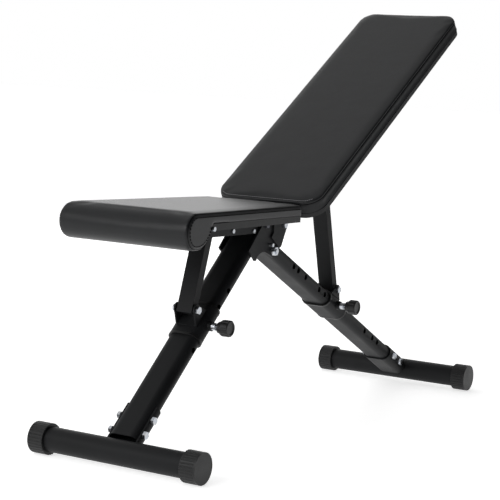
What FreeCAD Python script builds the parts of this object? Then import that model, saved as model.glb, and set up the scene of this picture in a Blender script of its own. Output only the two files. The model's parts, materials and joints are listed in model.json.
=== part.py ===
"""Adjustable weight bench: steel legs on two foot tubes, a hinged seat and a hinged backrest,
each propped by a strut from a sliding collar that a pull pin locks on its leg.

Side view: x runs from the seat end to the head end, z is up, and y = 0 is the middle plane.
The pull pins are on the -y side. Legs have frames of their own: local x runs along the tube,
local z stands square to it. The seat and the backrest have frames at their hinges.
"""
import FreeCAD, Part
import math
import os
import Sketcher
from FreeCAD import Placement, Rotation, Vector

DIMS = {
    # stance
    "foot_span": 1200.0, "foot_height": 31.0, "front_overhang": 31.3,
    "foot_tube_dia": 50.0, "foot_wall": 2.0, "front_foot_len": 388.0, "rear_foot_len": 406.0,
    # foot caps
    "cap_dia": 62.6, "cap_len": 35.0, "cap_end": 4.0, "cap_bore": 50.6,
    "cap_rib_count": 30.0, "cap_groove_dia": 3.2, "cap_lip": 3.5,
    # legs
    "front_angle": 41.05, "rear_angle": 27.13, "leg_wide": 67.0, "leg_thick": 33.0, "leg_wall": 2.0,
    "leg_start": 30.0, "front_leg_end": 585.0, "rear_leg_end": 824.0, "pin_hole": 12.5,
    # foot brackets
    "bracket_plate": 3.5, "front_bracket_end": 111.0, "rear_sleeve_end": 120.0, "bracket_lip": 8.5,
    # central bracket
    "cheek_plate": 4.0, "ear_plate": 4.0,
    # hinges
    "seat_hinge_x": 458.0, "seat_hinge_z": 442.0, "seat_slope": 1.2,
    "back_hinge_x": 528.0, "back_hinge_z": 438.0, "back_incline": 32.2,
    "hinge_bolt": 8.0, "hinge_hole": 8.6, "pivot_bolt": 10.0,
    # collars
    "front_collar_at": 333.0, "rear_collar_at": 446.0, "collar_len": 78.0, "collar_wall": 2.2,
    "liner_wall": 1.1, "liner_gap": 0.35, "liner_flange": 5.0, "liner_flange_wall": 4.2,
    "liner_depth": 18.0, "front_clevis_rise": 44.5, "rear_clevis_rise": 37.5,
    "clevis_plate": 3.0, "clevis_play": 3.5,
    # struts
    "strut_wide": 36.0, "strut_thick": 20.0, "strut_wall": 2.0, "strut_tail": 8.5,
    "strut_pin": 10.0, "front_strut_len": 165.5, "rear_strut_len": 307.0,
    "front_strut_angle": 72.66, "rear_strut_angle": 105.94,
    # pull pins
    "boss_dia": 20.0, "boss_end": 43.5, "plunger_dia": 15.5, "plunger_end": 53.0, "plunger_bore": 10.7,
    "pin_dia": 10.0, "pin_tip": 34.2, "knob_start": 58.0, "knob_len": 29.0,
    "knob_neck": 24.0, "knob_drum": 34.0, "knob_flutes": 8.0, "knob_flute_dia": 8.0,
    # seat
    "channel_half": 31.0, "channel_wall": 2.0, "seat_under": 12.0, "seat_channel_depth": 30.0,
    "seat_channel_len": 376.0, "board": 13.5, "seat_pad": 23.0, "seat_rear": 6.0,
    "seat_front_half": 148.1, "seat_taper": 0.0638, "roll_radius": 35.8, "roll_x": 18.4,
    # backrest
    "back_under": 17.8, "back_channel_len": 520.0, "back_channel_drop": 12.0, "back_board": 10.5,
    "back_pad": 29.5, "back_start": 6.6, "back_len": 805.0, "back_wide": 258.0,
    "back_top_corner": 36.0, "back_low_corner": 42.0,
}

doc = FreeCAD.newDocument("weight_bench")
sheet = doc.addObject("Spreadsheet::Sheet", "dims")
for row, (alias, value) in enumerate(DIMS.items(), start=1):
    sheet.set(f"A{row}", alias)
    sheet.set(f"B{row}", str(value))
    sheet.setAlias(f"B{row}", alias)
doc.recompute()


def dim(alias):
    """A driving dimension as a plain number."""
    return float(sheet.get(alias))


# --- positions in the side view ---------------------------------------------------------------

REAR_END = dim("foot_span") + dim("cap_dia") / 2
MID_X = (REAR_END - dim("front_overhang")) / 2
LEG_HALF = dim("leg_wide") / 2
CHEEK_IN = LEG_HALF
CHEEK_OUT = CHEEK_IN + dim("cheek_plate")
EAR_OUT = CHEEK_OUT + dim("ear_plate")
SLEEVE_WIDE = "dims.leg_wide + 2*(dims.liner_gap + dims.liner_wall + dims.collar_wall)"
SLEEVE_THICK = "dims.leg_thick + 2*(dims.liner_gap + dims.liner_wall + dims.collar_wall)"
SLEEVE_GROW = dim("liner_gap") + dim("liner_wall") + dim("collar_wall")


def tilt(degrees):
    """Turn in the side view that lifts +x towards +z."""
    return Rotation(Vector(0, -1, 0), degrees)


def at(x, z, y=0.0, degrees=0.0):
    """Placement of a point of the side view, with x measured from the front foot's axis."""
    return Placement(Vector(x - MID_X, y, z), tilt(degrees))


def shifted(frame, x=0.0, y=0.0, z=0.0, rotation=None):
    return frame.multiply(Placement(Vector(x, y, z), rotation or Rotation()))


FACE_NEAR = Rotation(Vector(1, 0, 0), 90)     # local z points to -y
FACE_FAR = Rotation(Vector(1, 0, 0), -90)     # local z points to +y
FRONT = at(0, dim("foot_height"), degrees=dim("front_angle"))
REAR = at(dim("foot_span"), dim("foot_height"), degrees=-dim("rear_angle"))
SEAT = at(dim("seat_hinge_x"), dim("seat_hinge_z"), degrees=-dim("seat_slope"))
BACK = at(dim("back_hinge_x"), dim("back_hinge_z"), degrees=dim("back_incline"))

# Side view positions.
SEAT_HINGE = (dim("seat_hinge_x"), dim("seat_hinge_z"))
BACK_HINGE = (dim("back_hinge_x"), dim("back_hinge_z"))
PIVOT = (490.0, 384.0)       # rear leg's pivot bolt
LOCK = (477.0, 398.0)        # rear leg's second bolt
ROLL_BACK = 80.0             # x where the roll's rear flank meets the board
ROLL_BOLT = 84.8

# Distances up the legs, and for bolts their offset from the leg's axis.
FRONT_PIN_HOLES = (266.0, 334.0, 384.0, 430.0)
REAR_PIN_HOLES = (197.0, 228.0, 276.0, 446.0, 514.0, 545.0, 619.0, 658.0, 682.0)
FRONT_FOOT_BOLTS = ((47.0, 2.5), (83.0, 2.5))
REAR_FOOT_BOLTS = ((56.0, 0.0), (98.0, 0.0))


# --- building blocks --------------------------------------------------------------------------

nodes = []


def body(label, placement):
    new = doc.addObject("PartDesign::Body", "Body_" + label)
    new.Label = label
    new.Placement = placement
    nodes.append(new)
    return new


def sketch(owner, role, u=0.0, v=0.0, lift=0.0):
    """Empty sketch on one of the body's own origin planes, moved by (u, v) and lifted."""
    new = owner.newObject("Sketcher::SketchObject", "Sketch")
    plane = next(f for f in owner.Origin.OriginFeatures if f.Role == role)
    new.AttachmentSupport = [(plane, "")]
    new.MapMode = "FlatFace"
    new.AttachmentOffset = Placement(Vector(u, v, lift), Rotation())
    return new


def name_constraint(sk, constraint, name, expression):
    index = sk.addConstraint(constraint)
    sk.renameConstraint(index, name)
    sk.setExpression("Constraints." + name, expression)


def value_of(expression):
    """Number that an expression on the sheet stands for."""
    return float(sheet.evalExpression(expression.replace("dims.", "")))


def circle(sk, diameter, x=0.0, y=0.0):
    """Circle with its diameter bound to an expression."""
    radius = value_of(diameter) / 2
    index = sk.addGeometry(Part.Circle(Vector(x, y, 0), Vector(0, 0, 1), radius), False)
    name_constraint(sk, Sketcher.Constraint("Diameter", index, 2 * radius), f"dia{index}", diameter)


def rectangle(sk, width, height):
    """Rectangle centred on the sketch's origin, both sides bound."""
    half_w, half_h = value_of(width) / 2, value_of(height) / 2
    corners = [Vector(-half_w, -half_h, 0), Vector(half_w, -half_h, 0),
               Vector(half_w, half_h, 0), Vector(-half_w, half_h, 0)]
    lines = [sk.addGeometry(Part.LineSegment(corners[i], corners[(i + 1) % 4]), False) for i in range(4)]
    for i in range(4):
        sk.addConstraint(Sketcher.Constraint("Coincident", lines[i], 2, lines[(i + 1) % 4], 1))
    for i in (0, 2):
        sk.addConstraint(Sketcher.Constraint("Horizontal", lines[i]))
        sk.addConstraint(Sketcher.Constraint("Vertical", lines[i + 1]))
    sk.addConstraint(Sketcher.Constraint("Symmetric", lines[0], 1, lines[2], 1, -1, 1))
    name_constraint(sk, Sketcher.Constraint("DistanceX", lines[0], 1, lines[0], 2, 2 * half_w),
                    f"wide{lines[0]}", width)
    name_constraint(sk, Sketcher.Constraint("DistanceY", lines[1], 1, lines[1], 2, 2 * half_h),
                    f"high{lines[0]}", height)


def oval(sk, width, thick):
    """Flat oval centred on the sketch's origin: two straights joined by half circles."""
    radius = value_of(thick) / 2
    reach = value_of(width) / 2 - radius
    right = sk.addGeometry(Part.ArcOfCircle(Part.Circle(Vector(reach, 0, 0), Vector(0, 0, 1), radius),
                                            -math.pi / 2, math.pi / 2), False)
    top = sk.addGeometry(Part.LineSegment(Vector(reach, radius, 0), Vector(-reach, radius, 0)), False)
    left = sk.addGeometry(Part.ArcOfCircle(Part.Circle(Vector(-reach, 0, 0), Vector(0, 0, 1), radius),
                                           math.pi / 2, 3 * math.pi / 2), False)
    low = sk.addGeometry(Part.LineSegment(Vector(-reach, -radius, 0), Vector(reach, -radius, 0)), False)
    ring = [right, top, left, low]
    for i in range(4):
        sk.addConstraint(Sketcher.Constraint("Tangent", ring[i], 2, ring[(i + 1) % 4], 1))
    sk.addConstraint(Sketcher.Constraint("Horizontal", top))
    sk.addConstraint(Sketcher.Constraint("Symmetric", right, 3, left, 3, -1, 1))
    sk.addConstraint(Sketcher.Constraint("Equal", right, left))
    name_constraint(sk, Sketcher.Constraint("Radius", right, radius), f"rad{right}", f"({thick})/2")
    name_constraint(sk, Sketcher.Constraint("DistanceX", left, 3, right, 3, 2 * reach),
                    f"reach{right}", f"({width}) - ({thick})")


def hexagon(sk, across):
    """Regular hexagon, its width across flats bound."""
    radius = value_of(across) / math.sqrt(3)
    points = [Vector(radius * math.cos(k * math.pi / 3), radius * math.sin(k * math.pi / 3), 0)
              for k in range(6)]
    lines = [sk.addGeometry(Part.LineSegment(points[k], points[(k + 1) % 6]), False) for k in range(6)]
    guide = sk.addGeometry(Part.Circle(Vector(0, 0, 0), Vector(0, 0, 1), radius), True)
    sk.addConstraint(Sketcher.Constraint("Coincident", guide, 3, -1, 1))
    for k in range(6):
        sk.addConstraint(Sketcher.Constraint("Coincident", lines[k], 2, lines[(k + 1) % 6], 1))
        sk.addConstraint(Sketcher.Constraint("PointOnObject", lines[k], 1, guide))
        if k:
            sk.addConstraint(Sketcher.Constraint("Equal", lines[0], lines[k]))
    sk.addConstraint(Sketcher.Constraint("PointOnObject", lines[0], 1, -1))
    name_constraint(sk, Sketcher.Constraint("Diameter", guide, 2 * radius), "corners",
                    f"2*({across})/sqrt(3)")


def outline(sk, start, steps):
    """Closed outline: each step is an end point, or a mid point and an end point of an arc."""
    here = Vector(*start, 0)
    first = last = None
    for step in steps:
        end = Vector(step[-2], step[-1], 0)
        if len(step) == 2:
            edge = Part.LineSegment(here, end)
        else:
            edge = Part.Arc(here, Vector(step[0], step[1], 0), end)
        index = sk.addGeometry(edge, False)
        if last is not None:
            join(sk, last, index)
        first = index if first is None else first
        last, here = index, end
    join(sk, last, first)


def join(sk, one, other):
    """Tie the end of one edge to the nearer end of the other."""
    best = min(((sk.getPoint(one, i).distanceToPoint(sk.getPoint(other, j)), i, j)
                for i in (1, 2) for j in (1, 2)))
    sk.addConstraint(Sketcher.Constraint("Coincident", one, best[1], other, best[2]))


def extrude(owner, kind, sk, length, symmetric=False, backwards=False):
    new = owner.newObject("PartDesign::" + kind, kind)
    new.Profile = sk
    if length is None:
        new.Type = "ThroughAll"
    else:
        new.setExpression("Length", length)
    if symmetric:
        new.SideType = "Symmetric"
    new.Reversed = backwards
    sk.Visibility = False
    return new


def pad(owner, sk, length, **options):
    return extrude(owner, "Pad", sk, length, **options)


def pocket(owner, sk, length=None, **options):
    """Cut that must take material away."""
    doc.recompute()
    before = owner.Shape.Volume
    new = extrude(owner, "Pocket", sk, length, **options)
    doc.recompute()
    if owner.Shape.Volume >= before - 1e-6:
        raise RuntimeError("empty cut in " + owner.Label)
    return new


def polar(owner, feature, role, count):
    """Repeat a feature about the body's own axis."""
    new = owner.newObject("PartDesign::PolarPattern", "PolarPattern")
    new.Originals = [feature]
    axis = next(f for f in owner.Origin.OriginFeatures if f.Role == role)
    new.Axis = (axis, [""])
    new.Angle = 360
    new.setExpression("Occurrences", count)
    owner.Tip = new
    return new


def drill(owner, role, diameter, points, **options):
    """Round holes at points of one origin plane."""
    sk = sketch(owner, role)
    for x, y in points:
        circle(sk, diameter, x, y)
    return pocket(owner, sk, **options)


# --- fasteners --------------------------------------------------------------------------------

def fastener(label, frame, spots, y_head, y_end, shank, across, head, facing=-1):
    """Hex bolts square to the side view: heads outside y_head on the side that facing gives."""
    turn = FACE_NEAR if facing < 0 else FACE_FAR
    new = body(label, shifted(frame, y=facing * y_head, rotation=turn))
    reach = f"{y_head} + {y_end}"
    for x, z in spots:
        v = z if facing < 0 else -z
        top = sketch(new, "XY_Plane", x, v)
        hexagon(top, f"{across}")
        pad(new, top, f"{head}")
        stem = sketch(new, "XY_Plane", x, v)
        circle(stem, f"{shank}")
        pad(new, stem, reach, backwards=True)
    return new


def nuts(label, frame, spots, y_seat, shank, across, thick, facing=1):
    """Hex nuts on the face at y_seat."""
    turn = FACE_NEAR if facing < 0 else FACE_FAR
    new = body(label, shifted(frame, y=facing * y_seat, rotation=turn))
    for x, z in spots:
        v = z if facing < 0 else -z
        ring = sketch(new, "XY_Plane", x, v)
        hexagon(ring, f"{across}")
        circle(ring, f"{shank}")
        pad(new, ring, f"{thick}")
    return new


# --- feet -------------------------------------------------------------------------------------

def foot(end, x, length):
    """Round foot tube across the bench with a ribbed cap on each end."""
    tube = body(f"{end}_foot_tube", at(x, dim("foot_height")))
    ring = sketch(tube, "XZ_Plane")
    circle(ring, "dims.foot_tube_dia")
    circle(ring, "dims.foot_tube_dia - 2*dims.foot_wall")
    pad(tube, ring, f"dims.{end}_foot_len - 2*dims.cap_end", symmetric=True)
    for side, facing in (("near", -1), ("far", 1)):
        cap(f"{end}_cap_{side}", x, facing, facing * (dim(f"{end}_foot_len") / 2 - dim("cap_len")))


def cap(label, x, facing, y_rim):
    """Plastic cup over the tube's end, fluted all round, with a small flat that stands on the floor."""
    turn = FACE_NEAR if facing < 0 else FACE_FAR
    cup = body(label, shifted(at(x, dim("foot_height")), y=y_rim, rotation=turn))
    disc = sketch(cup, "XY_Plane")
    circle(disc, "dims.cap_dia")
    pad(cup, disc, "dims.cap_len")
    bore = sketch(cup, "XY_Plane")
    circle(bore, "dims.cap_bore")
    pocket(cup, bore, "dims.cap_len - dims.cap_end", backwards=True)
    down = -1 if facing < 0 else 1
    groove = sketch(cup, "XY_Plane")
    turn_half = math.pi / dim("cap_rib_count")
    radius = dim("cap_dia") / 2 + 0.5
    circle(groove, "dims.cap_groove_dia", radius * math.sin(turn_half), down * radius * math.cos(turn_half))
    cut = pocket(cup, groove, "dims.cap_len - dims.cap_lip", backwards=True)
    polar(cup, cut, "Z_Axis", "dims.cap_rib_count")
    floor_cut = sketch(cup, "XY_Plane", 0, down * (dim("foot_height") + 5))
    rectangle(floor_cut, "dims.cap_dia", "10")
    pocket(cup, floor_cut, backwards=True)


def front_bracket():
    """Cradle welded on the foot tube: a flat oval sleeve cut open lengthwise, bolted across the leg."""
    cradle = body("front_foot_bracket", FRONT)
    sk = sketch(cradle, "YZ_Plane")
    oval(sk, "dims.leg_wide + 2*dims.bracket_plate", "dims.leg_thick + 2*dims.bracket_plate")
    oval(sk, "dims.leg_wide", "dims.leg_thick")
    pad(cradle, sk, "dims.front_bracket_end")
    cope(cradle)
    opening = sketch(cradle, "YZ_Plane", 0, dim("bracket_lip") + dim("leg_thick") / 2)
    rectangle(opening, "dims.leg_wide + 20", "dims.leg_thick")
    pocket(cradle, opening, backwards=True)
    drill(cradle, "XZ_Plane", "dims.hinge_bolt", FRONT_FOOT_BOLTS, symmetric=True)


def rear_bracket():
    """Flat oval sleeve welded on the foot tube, bolted through the leg inside it."""
    sleeve = body("rear_foot_bracket", REAR)
    sk = sketch(sleeve, "YZ_Plane")
    oval(sk, "dims.leg_wide + 2*dims.bracket_plate", "dims.leg_thick + 2*dims.bracket_plate")
    oval(sk, "dims.leg_wide", "dims.leg_thick")
    pad(sleeve, sk, "dims.rear_sleeve_end", backwards=True)
    cope(sleeve)
    drill(sleeve, "XZ_Plane", "dims.hinge_bolt", [(-a, off) for a, off in REAR_FOOT_BOLTS], symmetric=True)


def cope(owner):
    """Clear the round of the foot tube at the frame's origin."""
    sk = sketch(owner, "XZ_Plane")
    circle(sk, "dims.foot_tube_dia")
    pocket(owner, sk, symmetric=True)


# --- legs -------------------------------------------------------------------------------------

def leg(label, frame, sign, end, pin_holes, cross_holes):
    """Flat oval tube with pull pin holes in its near side and bolt holes through both sides."""
    tube = body(label, shifted(frame, x=sign * dim("leg_start")))
    sk = sketch(tube, "YZ_Plane")
    oval(sk, "dims.leg_wide", "dims.leg_thick")
    oval(sk, "dims.leg_wide - 2*dims.leg_wall", "dims.leg_thick - 2*dims.leg_wall")
    pad(tube, sk, f"dims.{end} - dims.leg_start", backwards=sign < 0)
    start = dim("leg_start")
    drill(tube, "XZ_Plane", "dims.pin_hole", [(sign * (a - start), 0) for a in pin_holes], backwards=True)
    for diameter, spots in cross_holes:
        drill(tube, "XZ_Plane", diameter, [(sign * (a - start), off) for a, off in spots], symmetric=True)


# --- central bracket --------------------------------------------------------------------------

def side_view_sketch(owner, points):
    """Outline given in side view positions; the owner stands at the origin of the side view."""
    sk = sketch(owner, "XZ_Plane")
    outline(sk, points[0], points[1:])
    return sk


def cheeks():
    """Pair of plates that join the two legs and carry the hinges of the seat and the backrest."""
    profile = [(390, 391), (438, 439), (448, 447), (528, 447), (538, 436), (520, 402),
               (504, 392, 503, 380), (500, 372, 489, 371), (473, 378, 457, 384),
               (436, 382, 424, 374), (419, 368, 413, 372), (390, 391)]
    for side, facing in (("near", -1), ("far", 1)):
        plate = body("cheek_" + side, at(0, 0, facing * CHEEK_IN))
        pad(plate, side_view_sketch(plate, profile), "dims.cheek_plate", backwards=facing > 0)
        for x, z in (SEAT_HINGE, BACK_HINGE):
            boss = sketch(plate, "XZ_Plane", x, z)
            circle(boss, "dims.hinge_bolt + 11")
            pad(plate, boss, "dims.cheek_plate", backwards=facing > 0)
        drill(plate, "XZ_Plane", "dims.hinge_bolt", [SEAT_HINGE, BACK_HINGE, LOCK], symmetric=True)
        drill(plate, "XZ_Plane", "dims.pivot_bolt", [PIVOT], symmetric=True)


def ears():
    """Outer plates that double the cheeks around the backrest's hinge."""
    profile = [(484, 447), (484, 424), (475, 414.5), (501, 396), (512, 390, 521, 398), (541, 436),
               (536, 449, 528, 449), (520, 447), (484, 447)]
    for side, facing in (("near", -1), ("far", 1)):
        plate = body("hinge_ear_" + side, at(0, 0, facing * CHEEK_OUT))
        pad(plate, side_view_sketch(plate, profile), "dims.ear_plate", backwards=facing > 0)
        drill(plate, "XZ_Plane", "dims.hinge_bolt", [BACK_HINGE], symmetric=True)


def leg_bolts():
    """Bolts that hold the rear leg in the cheeks, and the hinge bolts above them."""
    ground = at(0, 0)
    fastener("rear_leg_pivot_bolt", ground, [PIVOT], CHEEK_OUT, CHEEK_OUT + 11, "dims.pivot_bolt", 17, 6.5,
             facing=1)
    nuts("rear_leg_pivot_nut", ground, [PIVOT], CHEEK_OUT, "dims.pivot_bolt", 17, 9, facing=-1)
    fastener("rear_leg_lock_bolt", ground, [LOCK], CHEEK_OUT, CHEEK_OUT + 8, "dims.hinge_bolt", 13, 5.3,
             facing=1)
    for name, hinge, seat in (("seat", SEAT_HINGE, CHEEK_OUT), ("back", BACK_HINGE, EAR_OUT)):
        fastener(f"{name}_hinge_bolt", ground, [hinge], seat, seat + 8, "dims.hinge_bolt", 13, 4.5)
        nuts(f"{name}_hinge_nut", ground, [hinge], seat, "dims.hinge_bolt", 13, 6.5)


def foot_bolts(end, frame, sign, spots, y_face):
    spots = [(sign * a, off) for a, off in spots]
    fastener(f"{end}_foot_bolts", frame, spots, y_face, y_face + 9, "dims.hinge_bolt", 14, 5.5)
    nuts(f"{end}_foot_nuts", frame, spots, y_face, "dims.hinge_bolt", 13, 6.5)


# --- sliding collars --------------------------------------------------------------------------

def collar(end, frame):
    """Steel sleeve round the leg, with the boss for the pull pin on its near side."""
    sleeve = body(f"{end}_collar", frame)
    sk = sketch(sleeve, "YZ_Plane")
    oval(sk, SLEEVE_WIDE, SLEEVE_THICK)
    oval(sk, "dims.leg_wide + 2*(dims.liner_gap + dims.liner_wall)",
         "dims.leg_thick + 2*(dims.liner_gap + dims.liner_wall)")
    pad(sleeve, sk, "dims.collar_len", symmetric=True)
    drill(sleeve, "XZ_Plane", "dims.plunger_bore", [(0, 0)], backwards=True)
    liners(f"{end}_collar_liners", frame)
    boss = body(f"{end}_pin_boss", shifted(frame, rotation=FACE_NEAR))
    disc = sketch(boss, "XY_Plane", lift=LEG_HALF)
    circle(disc, "dims.boss_dia")
    pad(boss, disc, "dims.boss_end - dims.leg_wide/2")
    seat = sketch(boss, "YZ_Plane")
    upright_oval(seat)
    pocket(boss, seat, symmetric=True)
    drill(boss, "XY_Plane", "dims.plunger_bore", [(0, 0)], backwards=True)


def upright_oval(sk):
    """The sleeve's outer outline, in a sketch whose second axis runs along the pull pin."""
    half = dim("leg_wide") / 2 + SLEEVE_GROW
    radius = dim("leg_thick") / 2 + SLEEVE_GROW
    reach = half - radius
    outline(sk, (-radius, -reach), [(-radius, reach), (0, half, radius, reach), (radius, -reach),
                                    (0, -half, -radius, -reach)])


def liners(label, frame):
    """Plastic bushes pushed into both ends of the sleeve, their flanges against its edges."""
    bushes = body(label, frame)
    bore = ("dims.leg_wide + 2*dims.liner_gap", "dims.leg_thick + 2*dims.liner_gap")
    for facing in (-1, 1):
        edge = facing * dim("collar_len") / 2
        flange = sketch(bushes, "YZ_Plane", lift=edge)
        oval(flange, "dims.leg_wide + 2*dims.liner_flange_wall", "dims.leg_thick + 2*dims.liner_flange_wall")
        oval(flange, *bore)
        pad(bushes, flange, "dims.liner_flange", backwards=facing < 0)
        skirt = sketch(bushes, "YZ_Plane", lift=edge)
        oval(skirt, "dims.leg_wide + 2*(dims.liner_gap + dims.liner_wall)",
             "dims.leg_thick + 2*(dims.liner_gap + dims.liner_wall)")
        oval(skirt, *bore)
        pad(bushes, skirt, "dims.liner_depth", backwards=facing > 0)


def clevis(end, frame):
    """Bent plate on top of the sleeve with two cheeks that hold the strut's bolt."""
    rise = dim(f"{end}_clevis_rise")
    floor = dim("leg_thick") / 2 + SLEEVE_GROW
    plate = dim("clevis_plate")
    inner = dim("strut_wide") / 2 + dim("clevis_play")
    new = body(f"{end}_clevis", frame)
    base = sketch(new, "XY_Plane", lift=floor)
    rectangle(base, "46", f"{2 * (inner + plate)}")
    pad(new, base, "dims.clevis_plate")
    round_top = 12.0
    for facing in (-1, 1):
        side = sketch(new, "XZ_Plane", lift=facing * inner)
        outline(side, (-23, floor), [(-round_top, rise), (0, rise + round_top, round_top, rise),
                                     (23, floor), (-23, floor)])
        pad(new, side, "dims.clevis_plate", backwards=facing < 0)
    drill(new, "XZ_Plane", "dims.hinge_bolt", [(0, rise)], symmetric=True)
    face = inner + plate
    fastener(f"{end}_clevis_bolt", frame, [(0, rise)], face, face + 8, "dims.hinge_bolt", 14, 5.5)
    nuts(f"{end}_clevis_nut", frame, [(0, rise)], face, "dims.hinge_bolt", 13, 6.5)


def pull_pin(end, frame):
    """Threaded plunger housing, the pin that slides in it, and the fluted knob on the pin."""
    axis = shifted(frame, rotation=FACE_NEAR)
    housing = body(f"{end}_plunger_housing", axis)
    ring = sketch(housing, "XY_Plane", lift=dim("boss_end"))
    circle(ring, "dims.plunger_dia")
    circle(ring, "dims.plunger_bore")
    pad(housing, ring, "dims.plunger_end - dims.boss_end")
    pin = body(f"{end}_pull_pin", axis)
    disc = sketch(pin, "XY_Plane", lift=dim("pin_tip"))
    circle(disc, "dims.pin_dia")
    pad(pin, disc, "dims.knob_start + 0.6*dims.knob_len - dims.pin_tip")
    knob = body(f"{end}_pull_knob", shifted(axis, z=dim("knob_start")))
    neck, drum, long = dim("knob_neck") / 2, dim("knob_drum") / 2, dim("knob_len")
    sk = sketch(knob, "XZ_Plane")
    outline(sk, (0, 0), [
        (neck - 2, 0), (neck, 2), (neck, 7), (drum - 1.5, 9), (drum, 12), (drum, long - 2),
        (drum - 2, long), (0.72 * drum, long), (0.66 * drum, long - 1.8), (0, long - 1.8), (0, 0)])
    turned = knob.newObject("PartDesign::Revolution", "Revolution")
    turned.Profile = sk
    turned.ReferenceAxis = (sk, ["V_Axis"])
    turned.Angle = 360
    sk.Visibility = False
    flute = sketch(knob, "XY_Plane")
    circle(flute, "dims.knob_flute_dia", drum + 0.3 * dim("knob_flute_dia"), 0)
    cut = pocket(knob, flute, backwards=True)
    polar(knob, cut, "Z_Axis", "dims.knob_flutes")
    drill(knob, "XY_Plane", "dims.pin_dia", [(0, 0)], backwards=True, length="0.6*dims.knob_len")


# --- struts -----------------------------------------------------------------------------------

def strut(end, collar_frame):
    """Rectangular tube from the collar's bolt to a cross pin inside the channel above."""
    foot_at = shifted(collar_frame, z=dim(f"{end}_clevis_rise")).Base
    frame = Placement(foot_at, tilt(dim(f"{end}_strut_angle") - 90))
    tube = body(f"{end}_strut", shifted(frame, z=-dim("strut_tail")))
    sk = sketch(tube, "XY_Plane")
    rectangle(sk, "dims.strut_thick", "dims.strut_wide")
    rectangle(sk, "dims.strut_thick - 2*dims.strut_wall", "dims.strut_wide - 2*dims.strut_wall")
    pad(tube, sk, f"dims.{end}_strut_len + 2*dims.strut_tail")
    low, high = dim("strut_tail"), dim("strut_tail") + dim(f"{end}_strut_len")
    drill(tube, "XZ_Plane", "dims.hinge_hole", [(0, low)], symmetric=True)
    drill(tube, "XZ_Plane", "dims.strut_pin", [(0, high)], symmetric=True)
    cross = body(f"{end}_strut_pin", shifted(frame, z=dim(f"{end}_strut_len")))
    disc = sketch(cross, "XZ_Plane")
    circle(disc, "dims.strut_pin")
    pad(cross, disc, "2*(dims.channel_half - dims.channel_wall) - 1.5", symmetric=True)


# --- seat -------------------------------------------------------------------------------------

def channel(label, frame, start, length, under, drop, holes, screw_holes):
    """Folded steel channel under a board, open below, hinged near its end."""
    new = body(label, shifted(frame, x=start))
    sk = sketch(new, "YZ_Plane")
    half, wall = dim("channel_half"), dim("channel_wall")
    outline(sk, (-half, under), [(half, under), (half, -drop), (half - wall, -drop),
                                 (half - wall, under - wall), (wall - half, under - wall),
                                 (wall - half, -drop), (-half, -drop), (-half, under)])
    pad(new, sk, length)
    for diameter, spots in holes:
        drill(new, "XZ_Plane", diameter, [(x - start, z) for x, z in spots], symmetric=True)
    sk = sketch(new, "XY_Plane", lift=under)
    for x, y in screw_holes:
        circle(sk, "dims.hinge_bolt - 3", x - start, y)
    pocket(new, sk, "2*dims.channel_wall")
    return new


def washers(label, frame):
    """Pair of washers between the channel and the cheeks."""
    new = body(label, shifted(frame, rotation=FACE_NEAR))
    for facing in (-1, 1):
        ring = sketch(new, "XY_Plane", lift=facing * (dim("channel_half") + 1.05))
        circle(ring, "18")
        circle(ring, "dims.hinge_hole")
        pad(new, ring, "2.1", symmetric=True)


def board_screws(label, frame, spots, under):
    """Pan head screws up through the channel's web into the board."""
    new = body(label, shifted(frame, z=under - dim("channel_wall")))
    for x, y in spots:
        head = sketch(new, "XY_Plane", x, y)
        circle(head, "dims.hinge_bolt + 2")
        pad(new, head, "3", backwards=True)
        stem = sketch(new, "XY_Plane", x, y)
        circle(stem, "dims.hinge_bolt - 3")
        pad(new, stem, "dims.channel_wall")
    return new


def side_heads(label, frame, spots, y_face, head_dia, head, stem_dia=None, stem=None):
    """Round heads on both sides of a piece, with stems that run inwards."""
    new = body(label, frame)
    for facing in (-1, 1):
        for x, z in spots:
            disc = sketch(new, "XZ_Plane", x, z, lift=-facing * y_face)
            circle(disc, head_dia)
            pad(new, disc, head, backwards=facing > 0)
            if stem:
                rod = sketch(new, "XZ_Plane", x, z, lift=-facing * y_face)
                circle(rod, stem_dia)
                pad(new, rod, stem, backwards=facing < 0)


def seat_half(x):
    """Half width of the seat at a position of the side view."""
    return dim("seat_front_half") - dim("seat_taper") * x


def plan(x0, x1, inset):
    """Corners of the tapered plan between two positions, in the seat's frame."""
    a, b = seat_half(x0) - inset, seat_half(x1) - inset
    hinge = dim("seat_hinge_x")
    return [(x0 - hinge, -a), (x1 - hinge, -b), (x1 - hinge, b), (x0 - hinge, a), (x0 - hinge, -a)]


def seat():
    under, board = dim("seat_under"), dim("board")
    hinge = dim("seat_hinge_x")
    rear = hinge + dim("seat_rear")
    depth = dim("seat_channel_depth")
    screws = [(x, y) for x in (-340, -120) for y in (-20, 20)]
    side_screws = [(335 - hinge, -9), (418 - hinge, -13)]
    channel("seat_channel", SEAT, -dim("seat_channel_len"), "dims.seat_channel_len + 9", under,
            depth - under, [("dims.hinge_hole", [(0, 0)]), ("5", side_screws)], screws)
    board_screws("seat_board_screws", SEAT, screws, under)
    washers("seat_hinge_washers", SEAT)
    side_heads("seat_channel_screws", SEAT, side_screws, dim("channel_half"), "9", "2.2", "5",
               "dims.channel_wall + 4")
    base = body("seat_board", SEAT)
    sk = sketch(base, "XY_Plane", lift=under)
    corners = plan(ROLL_BACK, rear - 1, 3.0)
    outline(sk, corners[0], corners[1:])
    pad(base, sk, "dims.board")
    seat_cushion(under, under + board, rear)
    side_heads("seat_roll_bolts", SEAT, [(ROLL_BOLT - hinge, under + board / 2 - 3)],
               seat_half(ROLL_BOLT) - 2.6, "9", "3.5")


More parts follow.
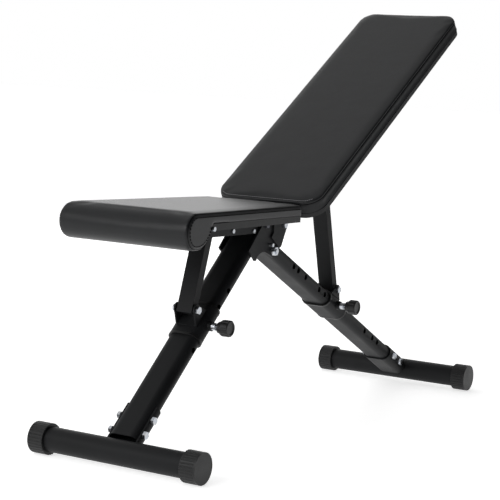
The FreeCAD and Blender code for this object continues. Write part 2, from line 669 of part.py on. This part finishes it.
def seat_cushion(under, seam, rear):
    """Seat pad with its front rolled down round the knees, tapered in plan."""
    hinge = dim("seat_hinge_x")
    radius = dim("roll_radius")
    top = seam + dim("seat_pad")
    axis = dim("roll_x") - hinge
    middle = top - radius
    low = middle - radius
    back = ROLL_BACK - hinge
    pad_body = body("seat_pad", SEAT)
    side = sketch(pad_body, "XZ_Plane")
    outline(side, (axis, top), [
        (rear - hinge - 6, top), (rear - hinge, top - 6), (rear - hinge, seam + 0.2),
        (back, seam + 0.2), (back - 0.5, under), (back - 23, low + 9, back - 56, low),
        (axis, low), (axis - radius, middle, axis, top)])
    pad(pad_body, side, "2*(dims.seat_front_half + 5)", symmetric=True)
    for facing in (-1, 1):
        wedge = sketch(pad_body, "XY_Plane")
        x0, x1 = -60.0, rear + 20
        far = facing * (dim("seat_front_half") + 20)
        outline(wedge, (x0 - hinge, facing * seat_half(x0)),
                [(x1 - hinge, facing * seat_half(x1)), (x1 - hinge, far), (x0 - hinge, far),
                 (x0 - hinge, facing * seat_half(x0))])
        pocket(pad_body, wedge, symmetric=True)


# --- backrest ---------------------------------------------------------------------------------

def back_outline(sk, inset):
    """Rounded plan of the backrest, in its hinge's frame."""
    x0, x1 = dim("back_start") + inset, dim("back_start") + dim("back_len") - inset
    half = dim("back_wide") / 2 - inset
    low, high = dim("back_low_corner"), dim("back_top_corner")
    k = 1 - math.sqrt(0.5)
    outline(sk, (x0 + low, -half), [
        (x1 - high, -half), (x1 - k * high, -half + k * high, x1, -half + high),
        (x1, half - high), (x1 - k * high, half - k * high, x1 - high, half),
        (x0 + low, half), (x0 + k * low, half - k * low, x0, half - low),
        (x0, -half + low), (x0 + k * low, -half + k * low, x0 + low, -half)])


def back():
    under, board = dim("back_under"), dim("back_board")
    screws = [(x, y) for x in (120, 470) for y in (-20, 20)]
    channel("back_channel", BACK, -11, "dims.back_channel_len", under, dim("back_channel_drop"),
            [("dims.hinge_hole", [(0, 0)])], screws)
    board_screws("back_board_screws", BACK, screws, under)
    washers("back_hinge_washers", BACK)
    base = body("back_board", BACK)
    sk = sketch(base, "XY_Plane", lift=under)
    back_outline(sk, 1.0)
    pad(base, sk, "dims.back_board")
    cushion = body("back_pad", BACK)
    sk = sketch(cushion, "XY_Plane", lift=under + board + 0.2)
    back_outline(sk, 0.0)
    pad(cushion, sk, "dims.back_pad")


# --- assembly ---------------------------------------------------------------------------------

foot("front", 0.0, "dims.front_foot_len")
foot("rear", dim("foot_span"), "dims.rear_foot_len")
front_bracket()
rear_bracket()


def local_to(frame, sign, x, z):
    """Side view position turned into (distance up the leg, offset from its axis)."""
    p = frame.inverse().multVec(Vector(x - MID_X, 0, z))
    return sign * p.x, p.z


leg("front_leg", FRONT, 1, "front_leg_end", FRONT_PIN_HOLES,
    [("dims.hinge_bolt", FRONT_FOOT_BOLTS)])
leg("rear_leg", REAR, -1, "rear_leg_end", REAR_PIN_HOLES,
    [("dims.hinge_bolt", [*REAR_FOOT_BOLTS, local_to(REAR, -1, *LOCK)]),
     ("dims.pivot_bolt", [local_to(REAR, -1, *PIVOT)])])
cheeks()
ears()
leg_bolts()
foot_bolts("front", FRONT, 1, FRONT_FOOT_BOLTS, LEG_HALF + dim("bracket_plate"))
foot_bolts("rear", REAR, -1, REAR_FOOT_BOLTS, LEG_HALF + dim("bracket_plate"))
for end, leg_frame, sign in (("front", FRONT, 1), ("rear", REAR, -1)):
    collar_frame = shifted(leg_frame, x=sign * dim(f"{end}_collar_at"))
    collar(end, collar_frame)
    clevis(end, collar_frame)
    pull_pin(end, collar_frame)
    strut(end, collar_frame)
seat()
back()

doc.recompute()
for item in doc.Objects:
    if {"Invalid", "Error"} & set(item.State):
        raise RuntimeError(f"{item.Name} ({item.Label}) is {item.State}")
for node in nodes:
    if node.Shape.isNull() or not node.Shape.isValid() or not node.Shape.Solids:
        raise RuntimeError(node.Label + " has no valid shape")
os.makedirs("parts", exist_ok=True)
for node in nodes:
    node.Shape.exportStep(f"parts/{node.Label}.step")
print(len(nodes), "nodes")
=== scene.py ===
"""Looks of the adjustable weight bench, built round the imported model."""

import json
import math

import bpy
from mathutils import Matrix, Vector
from mathutils.bvhtree import BVHTree
from mathutils.kdtree import KDTree


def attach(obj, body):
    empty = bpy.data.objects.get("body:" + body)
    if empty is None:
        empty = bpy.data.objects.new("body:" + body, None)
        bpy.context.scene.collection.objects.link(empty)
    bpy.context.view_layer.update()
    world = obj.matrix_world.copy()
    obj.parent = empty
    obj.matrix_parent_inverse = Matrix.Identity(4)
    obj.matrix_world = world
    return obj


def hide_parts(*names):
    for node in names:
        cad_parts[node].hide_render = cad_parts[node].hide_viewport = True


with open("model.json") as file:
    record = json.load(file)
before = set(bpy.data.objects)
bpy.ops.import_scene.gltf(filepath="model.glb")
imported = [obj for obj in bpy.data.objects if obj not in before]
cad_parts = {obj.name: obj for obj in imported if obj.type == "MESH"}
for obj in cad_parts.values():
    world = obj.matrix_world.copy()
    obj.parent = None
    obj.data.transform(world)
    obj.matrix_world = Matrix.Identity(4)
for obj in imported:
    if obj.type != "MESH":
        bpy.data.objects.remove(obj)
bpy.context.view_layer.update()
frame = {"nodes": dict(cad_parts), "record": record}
NODES = frame["nodes"]
MID_X = 0.600                   # from the front foot's axis to the origin


# --- frames of the pads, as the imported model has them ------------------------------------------

def hinge_frame(joint, incline):
    """Frame at a joint's place: local x along the pad towards the head end, local z out of its top."""
    turn = Matrix.Rotation(math.radians(incline), 4, Vector((0, -1, 0)))
    return Matrix.Translation(HINGES[joint]) @ turn


def span(node, home):
    """Lowest and highest coordinate of a CAD node along each axis of a frame."""
    back = home.inverted()
    points = [back @ vertex.co for vertex in NODES[node].data.vertices]
    return [(min(p[axis] for p in points), max(p[axis] for p in points)) for axis in range(3)]


HINGES = {joint["name"]: joint.get("pos_m") for joint in frame["record"]["behaviour"]["joints"]}
SEAT = hinge_frame("seat_tilt", -1.2)
BACK = hinge_frame("back_recline", 32.2)


# --- materials ---------------------------------------------------------------------------------

def new_material(name, color, roughness, metallic=0.0, **sockets):
    material = bpy.data.materials.new(name)
    material.use_nodes = True
    shader = material.node_tree.nodes["Principled BSDF"]
    shader.inputs["Base Color"].default_value = (*color, 1)
    shader.inputs["Roughness"].default_value = roughness
    shader.inputs["Metallic"].default_value = metallic
    for socket, value in sockets.items():
        shader.inputs[socket.replace("_", " ")].default_value = value
    material.diffuse_color = (*color, 1)
    return material, shader


def add_node(material, kind, **inputs):
    node = material.node_tree.nodes.new(kind)
    for name, value in inputs.items():
        node.inputs[name.replace("_", " ")].default_value = value
    return node


def link(material, out, into):
    material.node_tree.links.new(out, into)


def coordinates(material, scale=(1, 1, 1)):
    """Object coordinates, in metres, stretched by scale."""
    place = add_node(material, "ShaderNodeTexCoord")
    mapping = add_node(material, "ShaderNodeMapping", Scale=scale)
    link(material, place.outputs["Object"], mapping.inputs["Vector"])
    return mapping.outputs["Vector"]


def noise_texture(material, where, scale, detail=3.0, roughness=0.5):
    node = add_node(material, "ShaderNodeTexNoise", Scale=scale, Detail=detail, Roughness=roughness)
    link(material, where, node.inputs["Vector"])
    return node.outputs["Fac"]


def spread(material, source, low, high, into, span=(0.3, 0.7)):
    """Send a texture on to a socket, mapped to the values low to high."""
    node = add_node(material, "ShaderNodeMapRange", From_Min=span[0], From_Max=span[1],
                    To_Min=low, To_Max=high)
    link(material, source, node.inputs["Value"])
    link(material, node.outputs["Result"], into)


def tint(material, source, dark, light, into, span=(0.35, 0.65)):
    ramp = add_node(material, "ShaderNodeValToRGB")
    ramp.color_ramp.elements[0].position, ramp.color_ramp.elements[1].position = span
    ramp.color_ramp.elements[0].color = (*dark, 1)
    ramp.color_ramp.elements[1].color = (*light, 1)
    link(material, source, ramp.inputs["Fac"])
    link(material, ramp.outputs["Color"], into)


def bump(material, shader, layers, edge=0.0):
    """Chain of bumps, each (height, strength, distance in metres), over edges rounded by edge."""
    normal = None
    if edge:
        rounded = add_node(material, "ShaderNodeBevel", Radius=edge)
        rounded.samples = 4
        normal = rounded.outputs["Normal"]
    for height, strength, distance in layers:
        node = add_node(material, "ShaderNodeBump", Strength=strength, Distance=distance)
        link(material, height, node.inputs["Height"])
        if normal:
            link(material, normal, node.inputs["Normal"])
        normal = node.outputs["Normal"]
    link(material, normal, shader.inputs["Normal"])


def shades(color, darker, lighter):
    return tuple(c * darker for c in color), tuple(c * lighter for c in color)


def powder_coat(name, color, roughness):
    """Matte sprayed steel: fine orange peel, edges rubbed a little smoother."""
    material, shader = new_material(name, color, roughness, Specular_IOR_Level=0.16)
    where = coordinates(material)
    fine = noise_texture(material, where, 1400, 2.0)
    peel = noise_texture(material, where, 420, 2.0)
    broad = noise_texture(material, where, 14, 4.0)
    tint(material, broad, *shades(color, 0.85, 1.2), shader.inputs["Base Color"])
    spread(material, broad, roughness - 0.05, roughness + 0.06, shader.inputs["Roughness"])
    bump(material, shader, [(peel, 0.16, 0.0006), (fine, 0.25, 0.0002)], edge=0.0009)
    return material


def moulded_plastic(name, color, roughness, edge=0.0007):
    """Moulded plastic with a spark-eroded grain."""
    material, shader = new_material(name, color, roughness, Specular_IOR_Level=0.3)
    where = coordinates(material)
    grain = noise_texture(material, where, 1900, 2.0)
    broad = noise_texture(material, where, 25, 3.0)
    tint(material, broad, *shades(color, 0.85, 1.25), shader.inputs["Base Color"])
    spread(material, broad, roughness - 0.06, roughness + 0.07, shader.inputs["Roughness"])
    bump(material, shader, [(grain, 0.3, 0.00025)], edge=edge)
    return material


def zinc_plate(name, color, roughness):
    """Bright zinc with a faint blue passivated tint and fine turning marks."""
    material, shader = new_material(name, color, roughness, metallic=1.0)
    where = coordinates(material)
    cloud = noise_texture(material, where, 160, 4.0, 0.6)
    marks = noise_texture(material, coordinates(material, (1, 5, 1)), 900, 2.0)
    bluish = (color[0] * 0.8, color[1] * 0.84, color[2] * 0.92)
    tint(material, cloud, bluish, color, shader.inputs["Base Color"])
    spread(material, cloud, roughness - 0.08, roughness + 0.12, shader.inputs["Roughness"])
    bump(material, shader, [(marks, 0.2, 0.0002)], edge=0.0005)
    return material


def synthetic_leather(name, color, roughness, grain=0.24, wrinkle=0.25):
    """Smooth coated cover: fine pebble grain, soft broad unevenness and a low even sheen."""
    material, shader = new_material(name, color, roughness, Specular_IOR_Level=0.26, Sheen_Weight=0.01,
                                    Sheen_Roughness=0.4, Coat_Weight=0.03, Coat_Roughness=0.38)
    where = coordinates(material)
    warp = add_node(material, "ShaderNodeTexNoise", Scale=260, Detail=2.0)
    link(material, where, warp.inputs["Vector"])
    mixed = add_node(material, "ShaderNodeVectorMath")
    mixed.operation = "MULTIPLY_ADD"
    mixed.inputs[1].default_value = (0.0012, 0.0012, 0.0012)
    link(material, warp.outputs["Color"], mixed.inputs[0])
    link(material, where, mixed.inputs[2])
    pebbles = add_node(material, "ShaderNodeTexVoronoi", Scale=850)
    pebbles.feature = "SMOOTH_F1"
    link(material, mixed.outputs["Vector"], pebbles.inputs["Vector"])
    pores = noise_texture(material, where, 2400, 1.0)
    folds = noise_texture(material, where, 22, 3.0, 0.45)
    tint(material, folds, *shades(color, 0.9, 1.12), shader.inputs["Base Color"])
    spread(material, pebbles.outputs["Distance"], roughness - 0.04, roughness + 0.08,
           shader.inputs["Roughness"], span=(0.0, 0.8))
    bump(material, shader, [(folds, wrinkle, 0.0015), (pebbles.outputs["Distance"], grain, 0.00035),
                            (pores, 0.1, 0.0001)])
    return material


COAT = powder_coat("powder_coat", (0.0078, 0.0082, 0.0090), 0.5)
CAPS = moulded_plastic("cap_plastic", (0.0095, 0.0097, 0.0101), 0.42)
KNOBS = moulded_plastic("knob_plastic", (0.013, 0.0132, 0.0138), 0.36)
LINERS = moulded_plastic("liner_plastic", (0.006, 0.006, 0.0062), 0.34)
ZINC = zinc_plate("zinc_plate", (0.60, 0.61, 0.62), 0.3)
BLACK_OXIDE = zinc_plate("black_oxide", (0.10, 0.10, 0.11), 0.42)
LEATHER = synthetic_leather("pad_leather", (0.0062, 0.0068, 0.0078), 0.37)
WRAP = synthetic_leather("board_wrap", (0.0095, 0.0098, 0.0104), 0.5, grain=0.3, wrinkle=0.35)
THREAD = new_material("stitch_thread", (0.24, 0.24, 0.25), 0.6)[0]
# Painted shade: a near-black, almost unreflecting material. It is laid as thin tubes in the seam grooves
# so that the seams read as dark lines, and the seat's stitch rows are drawn in it too.
PAINTED_SEAM_SHADE = new_material("seam_shadow", (0.003, 0.003, 0.0032), 0.8, Specular_IOR_Level=0.02)[0]

BY_SLOT = {"frame_paint": COAT, "board": WRAP, "cap_plastic": CAPS, "knob_plastic": KNOBS,
           "liner_plastic": LINERS, "zinc_hardware": ZINC, "dark_hardware": BLACK_OXIDE,
           "pad_leather": LEATHER}


def paint(obj, material):
    """Give a piece one material."""
    obj.data.materials.clear()
    obj.data.materials.append(material)


for entry in frame["record"]["subparts"]:
    paint(NODES[entry["node"]], BY_SLOT[entry["material_slot"]])


# --- soft goods --------------------------------------------------------------------------------

def mesh_object(name, mesh, material, smooth=True):
    obj = bpy.data.objects.new(name, mesh)
    bpy.context.collection.objects.link(obj)
    paint(obj, material)
    mesh.polygons.foreach_set("use_smooth", [smooth] * len(mesh.polygons))
    return obj


def applied(obj):
    """Keep what the modifiers make, as a plain mesh."""
    graph = bpy.context.evaluated_depsgraph_get()
    made = bpy.data.meshes.new_from_object(obj.evaluated_get(graph))
    obj.modifiers.clear()
    obj.data = made


def reshaped(obj, change):
    """Move every point of a mesh by change(place)."""
    for vertex in obj.data.vertices:
        vertex.co = change(vertex.co)
    obj.data.update()


def remeshed(name, node, flatten, restore, rounds, voxel=0.004, trim=0.0002):
    """Copy of a CAD pad in even quads with softened edges.

    It is remeshed where flatten(place) puts it, square to the axes, and restore(place) brings it back.
    """
    obj = mesh_object(name, NODES[node].data.copy(), LEATHER)
    reshaped(obj, flatten)
    remesh = obj.modifiers.new("remesh", "REMESH")
    remesh.mode, remesh.voxel_size = "VOXEL", voxel
    soften = obj.modifiers.new("soften", "SMOOTH")
    soften.factor, soften.iterations = 0.5, rounds
    applied(obj)
    normals = [v.normal.copy() for v in obj.data.vertices]
    for vertex, normal in zip(obj.data.vertices, normals):
        vertex.co -= normal * trim
    reshaped(obj, restore)
    return obj


def blown_up(obj, held, pressure, cap, frames=20):
    """Swell the pad as cloth; held(place) says which points stay, cap limits how far others go."""
    mesh = obj.data
    start = [v.co.copy() for v in mesh.vertices]
    pinned = [v.index for v in mesh.vertices if held(v.co)]
    obj.vertex_groups.new(name="held").add(pinned, 1.0, "REPLACE")
    cloth = obj.modifiers.new("cloth", "CLOTH")
    options = cloth.settings
    options.quality, options.mass = 5, 0.3
    options.tension_stiffness = options.compression_stiffness = 18
    options.shear_stiffness, options.bending_stiffness = 8, 1.2
    options.use_pressure, options.uniform_pressure_force = True, pressure
    options.vertex_group_mass = "held"
    options.effector_weights.gravity = 0
    cloth.collision_settings.use_collision = False
    cloth.point_cache.frame_start, cloth.point_cache.frame_end = 1, frames
    scene = bpy.context.scene
    for number in range(1, frames + 1):
        scene.frame_set(number)
    graph = bpy.context.evaluated_depsgraph_get()
    swollen = obj.evaluated_get(graph).to_mesh()
    moves = [v.co - s for v, s in zip(swollen.vertices, start)]
    obj.modifiers.clear()
    scene.frame_set(1)
    moves = [m * min(1.0, cap / m.length) if m.length > 1e-9 else m for m in moves]
    for _ in range(3):
        moves = averaged(mesh, moves)
    for vertex, place, move in zip(mesh.vertices, start, moves):
        vertex.co = place + move
    mesh.update()


def averaged(mesh, values):
    """Each point's vector, averaged with those of the points that it shares an edge with."""
    total = [v.copy() for v in values]
    count = [1] * len(values)
    for edge in mesh.edges:
        a, b = edge.vertices
        total[a] += values[b]
        total[b] += values[a]
        count[a] += 1
        count[b] += 1
    return [t / c for t, c in zip(total, count)]


def subdivided(obj):
    obj.modifiers.new("subdivide", "SUBSURF").levels = 1
    applied(obj)
    obj.data.polygons.foreach_set("use_smooth", [True] * len(obj.data.polygons))


def evenly(points, step, closed):
    """Points at even steps along a polyline."""
    points = points + points[:1] if closed else points
    lengths = [(b - a).length for a, b in zip(points, points[1:])]
    total = sum(lengths)
    count = max(2, round(total / step))
    step = total / count
    out, index, walked = [], 0, 0.0
    for k in range(count + (0 if closed else 1)):
        target = min(k * step, total - 1e-9)
        while walked + lengths[index] < target and index < len(lengths) - 1:
            walked += lengths[index]
            index += 1
        out.append(points[index].lerp(points[index + 1], (target - walked) / lengths[index]))
    return out


def landed(tree, spots, aim, reach=0.05):
    """Where lines of sight along aim meet the surface: (place, normal) for each spot that hits."""
    hits = []
    for spot in spots:
        toward = aim(spot)
        place, normal, _, _ = tree.ray_cast(spot - toward * reach, toward, 2 * reach)
        if place is not None:
            hits.append((place, normal))
    return hits


def press_groove(obj, hits, width, depth):
    """Push the surface in along a seam."""
    lookup = KDTree(len(hits))
    for index, (place, _) in enumerate(hits):
        lookup.insert(place, index)
    lookup.balance()
    moves = []
    for vertex in obj.data.vertices:
        _, _, away = lookup.find(vertex.co)
        if away < width:
            moves.append((vertex, vertex.normal * depth * (1 - (away / width) ** 2) ** 2))
    for vertex, move in moves:
        vertex.co -= move


def tube(name, rings, radius, sides, material, closed):
    """Tube along (place, normal) points."""
    mesh = bpy.data.meshes.new(name)
    verts, faces = [], []
    n = len(rings)
    for k, (place, normal) in enumerate(rings):
        before = rings[k - 1][0] if k or closed else place
        after = rings[(k + 1) % n][0] if k < n - 1 or closed else place
        along = (after - before).normalized()
        across = along.cross(normal).normalized()
        up = across.cross(along).normalized()
        for s in range(sides):
            angle = 2 * math.pi * s / sides
            verts.append(place + across * radius * math.cos(angle) + up * radius * math.sin(angle))
    for k in range(n if closed else n - 1):
        for s in range(sides):
            a, b = k * sides + s, k * sides + (s + 1) % sides
            c, d = ((k + 1) % n) * sides + (s + 1) % sides, ((k + 1) % n) * sides + s
            faces.append((a, b, c, d))
    if not closed:
        faces.append(tuple(range(sides - 1, -1, -1)))
        faces.append(tuple(range((n - 1) * sides, n * sides)))
    mesh.from_pydata(verts, [], faces)
    return mesh_object(name, mesh, material)


def stitches(name, hits, length, radius, lift, material):
    """Row of short rounded stitches lying on the surface."""
    sides, rings = 6, ((-0.5, 0.35), (-0.36, 0.9), (0.0, 1.0), (0.36, 0.9), (0.5, 0.35))
    verts, faces = [], []
    for (a, normal), (b, _) in zip(hits, hits[1:]):
        if (b - a).length > 3 * length:
            continue
        along = (b - a).normalized()
        across = along.cross(normal).normalized()
        up = across.cross(along)
        centre = (a + b) / 2 + up * lift
        first = len(verts)
        for place, fat in rings:
            for s in range(sides):
                angle = 2 * math.pi * s / sides
                verts.append(centre + along * place * length + across * radius * fat * math.cos(angle)
                             + up * radius * 0.8 * fat * math.sin(angle))
        for k in range(len(rings) - 1):
            for s in range(sides):
                low, high = first + k * sides, first + (k + 1) * sides
                faces.append((low + s, low + (s + 1) % sides, high + (s + 1) % sides, high + s))
        faces.append(tuple(range(first + sides - 1, first - 1, -1)))
        faces.append(tuple(range(first + (len(rings) - 1) * sides, first + len(rings) * sides)))
    mesh = bpy.data.meshes.new(name)
    mesh.from_pydata(verts, [], faces)
    return mesh_object(name, mesh, material)


def arc(x, z, radius, first, last, steps=14):
    """Points of an arc in the side view, between two angles in degrees."""
    angles = [math.radians(first + (last - first) * k / steps) for k in range(steps + 1)]
    return [Vector((x + radius * math.cos(a), 0, z + radius * math.sin(a))) for a in angles]


def rounded_plan(x0, x1, half, low, high, inset, steps=10):
    """Outline of the backrest in its own plan, inset from its edge; low and high are corner radii."""
    corners = [(x1, -half, high, -90), (x1, half, high, 0), (x0, half, low, 90), (x0, -half, low, 180)]
    points = []
    for x, y, radius, turn in corners:
        cx = x - radius if x > 0.4 else x + radius
        cy = y - math.copysign(radius, y)
        for k in range(steps + 1):
            angle = math.radians(turn + 90 * k / steps)
            reach = radius - inset
            points.append(Vector((cx + reach * math.cos(angle), cy + reach * math.sin(angle), 0)))
    return points


def surface(obj):
    mesh = obj.data
    return BVHTree.FromPolygons([v.co for v in mesh.vertices], [p.vertices for p in mesh.polygons])


def build_backrest():
    """Backrest cushion: top panel sewn to a side band all round, with a row of stitches at its low end."""
    (start, end), (_, half), (base, top) = span("back_pad", BACK)
    low_corner, high_corner = 0.042, 0.036
    sunk, gap = 0.012, 0.001               # how far the copy's underside goes down, and the gap that shows
    inverse = BACK.inverted()

    def flatten(place):
        p = inverse @ place
        return p - Vector((0, 0, sunk)) if p.z < base + 0.001 else p

    pad = remeshed("backrest_cushion", "back_pad", flatten, lambda p: BACK @ p, 3)
    blown_up(pad, lambda co: (inverse @ co).z < base + 0.004, 4.0, 0.0022)
    subdivided(pad)

    def seated(place):
        p = inverse @ place
        return BACK @ Vector((p.x, p.y, max(p.z, base + gap)))

    reshaped(pad, seated)
    seam_height = top - 0.0075
    plan = rounded_plan(start, end, half, low_corner, high_corner, 0.001)
    ring = [BACK @ (p + Vector((0, 0, seam_height))) for p in evenly(plan, 0.004, True)]
    axis = BACK @ Vector((end / 2, 0, seam_height))
    along = (BACK.to_3x3() @ Vector((1, 0, 0))).normalized()

    def inward(spot):
        middle = axis + along * max(-0.33, min(0.33, (spot - axis).dot(along)))
        return (middle - spot).normalized()

    hits = landed(surface(pad), ring, inward, 0.03)
    press_groove(pad, hits, 0.0045, 0.001)
    # Painted shade: a thin near-black tube sunk into the seam groove.
    seam_shade = tube("backrest_seam_shade", [(p - n * 0.0005, n) for p, n in hits], 0.0008, 6, PAINTED_SEAM_SHADE, True)
    down = (BACK.to_3x3() @ Vector((0, 0, -1))).normalized()
    inner = rounded_plan(start, end, half, low_corner, high_corner, 0.007)
    row = [BACK @ (p + Vector((0, 0, top))) for p in evenly(inner, 0.0048, True) if p.x < start + 0.02]
    sewn = landed(surface(pad), row, lambda spot: (down + inward(spot)).normalized(), 0.03)
    thread = stitches("backrest_stitching", sewn, 0.0036, 0.0007, 0.0004, THREAD)
    return pad, [seam_shade, thread]


def build_seat():
    """Seat cushion with its rolled front; its side panels are sewn on along the profile's edge."""
    top, under, base, hinge = 0.0485, 0.012, 0.0257, 0.458
    roll_back, roll_x, radius = 0.080, 0.0184, 0.0358
    flank_x, flank_z, flank_radius = 0.0257, 0.0356, 0.0587
    sunk, gap = 0.011, 0.001
    inverse = SEAT.inverted()

    def over_board(p):
        return p.x > roll_back - hinge + 0.001

    def half(x):
        """Half of the seat's width, which tapers towards the backrest."""
        return 0.1481 - 0.0638 * (x + hinge)

    def flatten(place):
        p = inverse @ place
        lowered = sunk if over_board(p) and p.z < base + 0.001 else 0.0
        return Vector((p.x, p.y * half(0) / half(p.x), p.z - lowered))

    def restore(p):
        return SEAT @ Vector((p.x, p.y * half(p.x) / half(0), p.z))

    pad = remeshed("seat_cushion", "seat_pad", flatten, restore, 3)

    def held(co):
        local = inverse @ co
        return over_board(local) and local.z < base + 0.003 or abs(local.y) > half(local.x) - 0.0025

    blown_up(pad, held, 4.0, 0.0018)
    subdivided(pad)

    def seated(place):
        p = inverse @ place
        return SEAT @ Vector((p.x, p.y, max(p.z, base + gap))) if over_board(p) else place

    reshaped(pad, seated)

    def profile(inset):
        """Line along the side panel's edge at a distance, from the rear to the roll's flank."""
        line = [Vector((0.0005, 0, top - inset)), Vector((roll_x - hinge, 0, top - inset))]
        line += arc(roll_x - hinge, top - radius, radius - inset, 96, 270)
        line += arc(flank_x - hinge, flank_z, flank_radius - inset, 270, 336)
        return line + [Vector((roll_back - inset - hinge, 0, under + 0.009))]

    details = []
    for tag, side in (("near", -1), ("far", 1)):
        aim = (SEAT.to_3x3() @ Vector((0, -side, 0))).normalized()

        def on_face(inset, step):
            line = [SEAT @ (p + Vector((0, side * 0.15, 0))) for p in evenly(profile(inset), step, False)]
            return landed(surface(pad), line, lambda spot: aim, 0.06)

        press_groove(pad, on_face(0.0035, 0.0035), 0.004, 0.0009)
        # Painted shade: a near-black tube sunk into the side seam's groove, with the stitch row drawn in
        # the same unreflecting near-black.
        seam_shade = tube(f"seat_seam_shade_{tag}", on_face(0.0035, 0.0035), 0.0006, 6, PAINTED_SEAM_SHADE, False)
        row = stitches(f"seat_stitching_{tag}", on_face(0.009, 0.0068), 0.0048, 0.0009, 0.0004, PAINTED_SEAM_SHADE)
        details += [seam_shade, row]
    return pad, details


def declare(pad, details, body, node, fill):
    for piece in [pad, *details]:
        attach(piece, body)
    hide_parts(node)


declare(*build_backrest(), "backrest", "back_pad", 0.8)
declare(*build_seat(), "seat", "seat_pad", 0.8)


# --- floor, light and camera -------------------------------------------------------------------

def build_floor():
    """Plain floor that glows a little, so that it stays white in the dim studio."""
    mesh = bpy.data.meshes.new("floor")
    size = 30.0
    corners = [(-size, -size, 0), (size, -size, 0), (size, size, 0), (-size, size, 0)]
    mesh.from_pydata(corners, [], [(0, 1, 2, 3)])
    material, _ = new_material("pale_floor", (0.9, 0.9, 0.9), 0.6, Specular_IOR_Level=0.1,
                               Emission_Color=(1, 1, 1, 1), Emission_Strength=0.66)
    floor = mesh_object("floor", mesh, material, smooth=False)


def area_light(name, place, target, size, power):
    light = bpy.data.lights.new(name, "AREA")
    light.energy, light.size = power, size
    obj = bpy.data.objects.new(name, light)
    bpy.context.collection.objects.link(obj)
    obj.location = place
    obj.rotation_euler = (Vector(target) - Vector(place)).to_track_quat("-Z", "Y").to_euler()


def build_light():
    """White studio that the camera sees; as light it fades from the far side to the near side."""
    world = bpy.data.worlds.new("studio")
    world.use_nodes = True
    background = world.node_tree.nodes["Background"]
    background.inputs["Color"].default_value = (1, 1, 1, 1)
    make, join = world.node_tree.nodes.new, world.node_tree.links.new
    rays, sky, parts = (make("ShaderNode" + kind) for kind in ("LightPath", "TexCoord", "SeparateXYZ"))
    fade, strength = make("ShaderNodeMapRange"), make("ShaderNodeMath")
    fade.inputs["From Min"].default_value, fade.inputs["From Max"].default_value = -0.5, 0.7
    fade.inputs["To Min"].default_value, fade.inputs["To Max"].default_value = 0.05, 0.85
    strength.operation = "MAXIMUM"
    join(sky.outputs["Generated"], parts.inputs["Vector"])
    join(parts.outputs["Y"], fade.inputs["Value"])
    join(fade.outputs["Result"], strength.inputs[0])
    join(rays.outputs["Is Camera Ray"], strength.inputs[1])
    join(strength.outputs["Value"], background.inputs["Strength"])
    bpy.context.scene.world = world
    bpy.context.scene.view_settings.view_transform = "Standard"
    area_light("key", (-3.4, 0.9, 2.0), (0, 0, 0.4), 1.8, 44)
    area_light("back", (3.2, 2.1, 1.5), (0, 0, 0.5), 2.4, 18)
    area_light("top", (0.0, 0.0, 3.4), (0, 0, 0.3), 2.2, 3)


def build_camera():
    """Long lens at the front left, slightly above the seat."""
    yaw, pitch, roll = (math.radians(a) for a in (30.610, -6.178, 2.650))
    ahead = Vector((math.cos(pitch) * math.cos(yaw), math.cos(pitch) * math.sin(yaw), math.sin(pitch)))
    level = ahead.cross(Vector((0, 0, 1))).normalized()
    upright = level.cross(ahead)
    right = level * math.cos(roll) + upright * math.sin(roll)
    up = upright * math.cos(roll) - level * math.sin(roll)
    camera = bpy.data.cameras.new("camera")
    camera.lens, camera.sensor_width = 116.67, 36.0
    camera.shift_x, camera.shift_y = -0.0086, -0.0161
    camera.clip_end = 100
    obj = bpy.data.objects.new("camera", camera)
    bpy.context.collection.objects.link(obj)
    place = Matrix((right, up, -ahead)).transposed().to_4x4()
    place.translation = (-2.4774 - MID_X, -1.7461, 0.7722)
    obj.matrix_world = place
    bpy.context.scene.camera = obj


build_floor()
build_light()
build_camera()
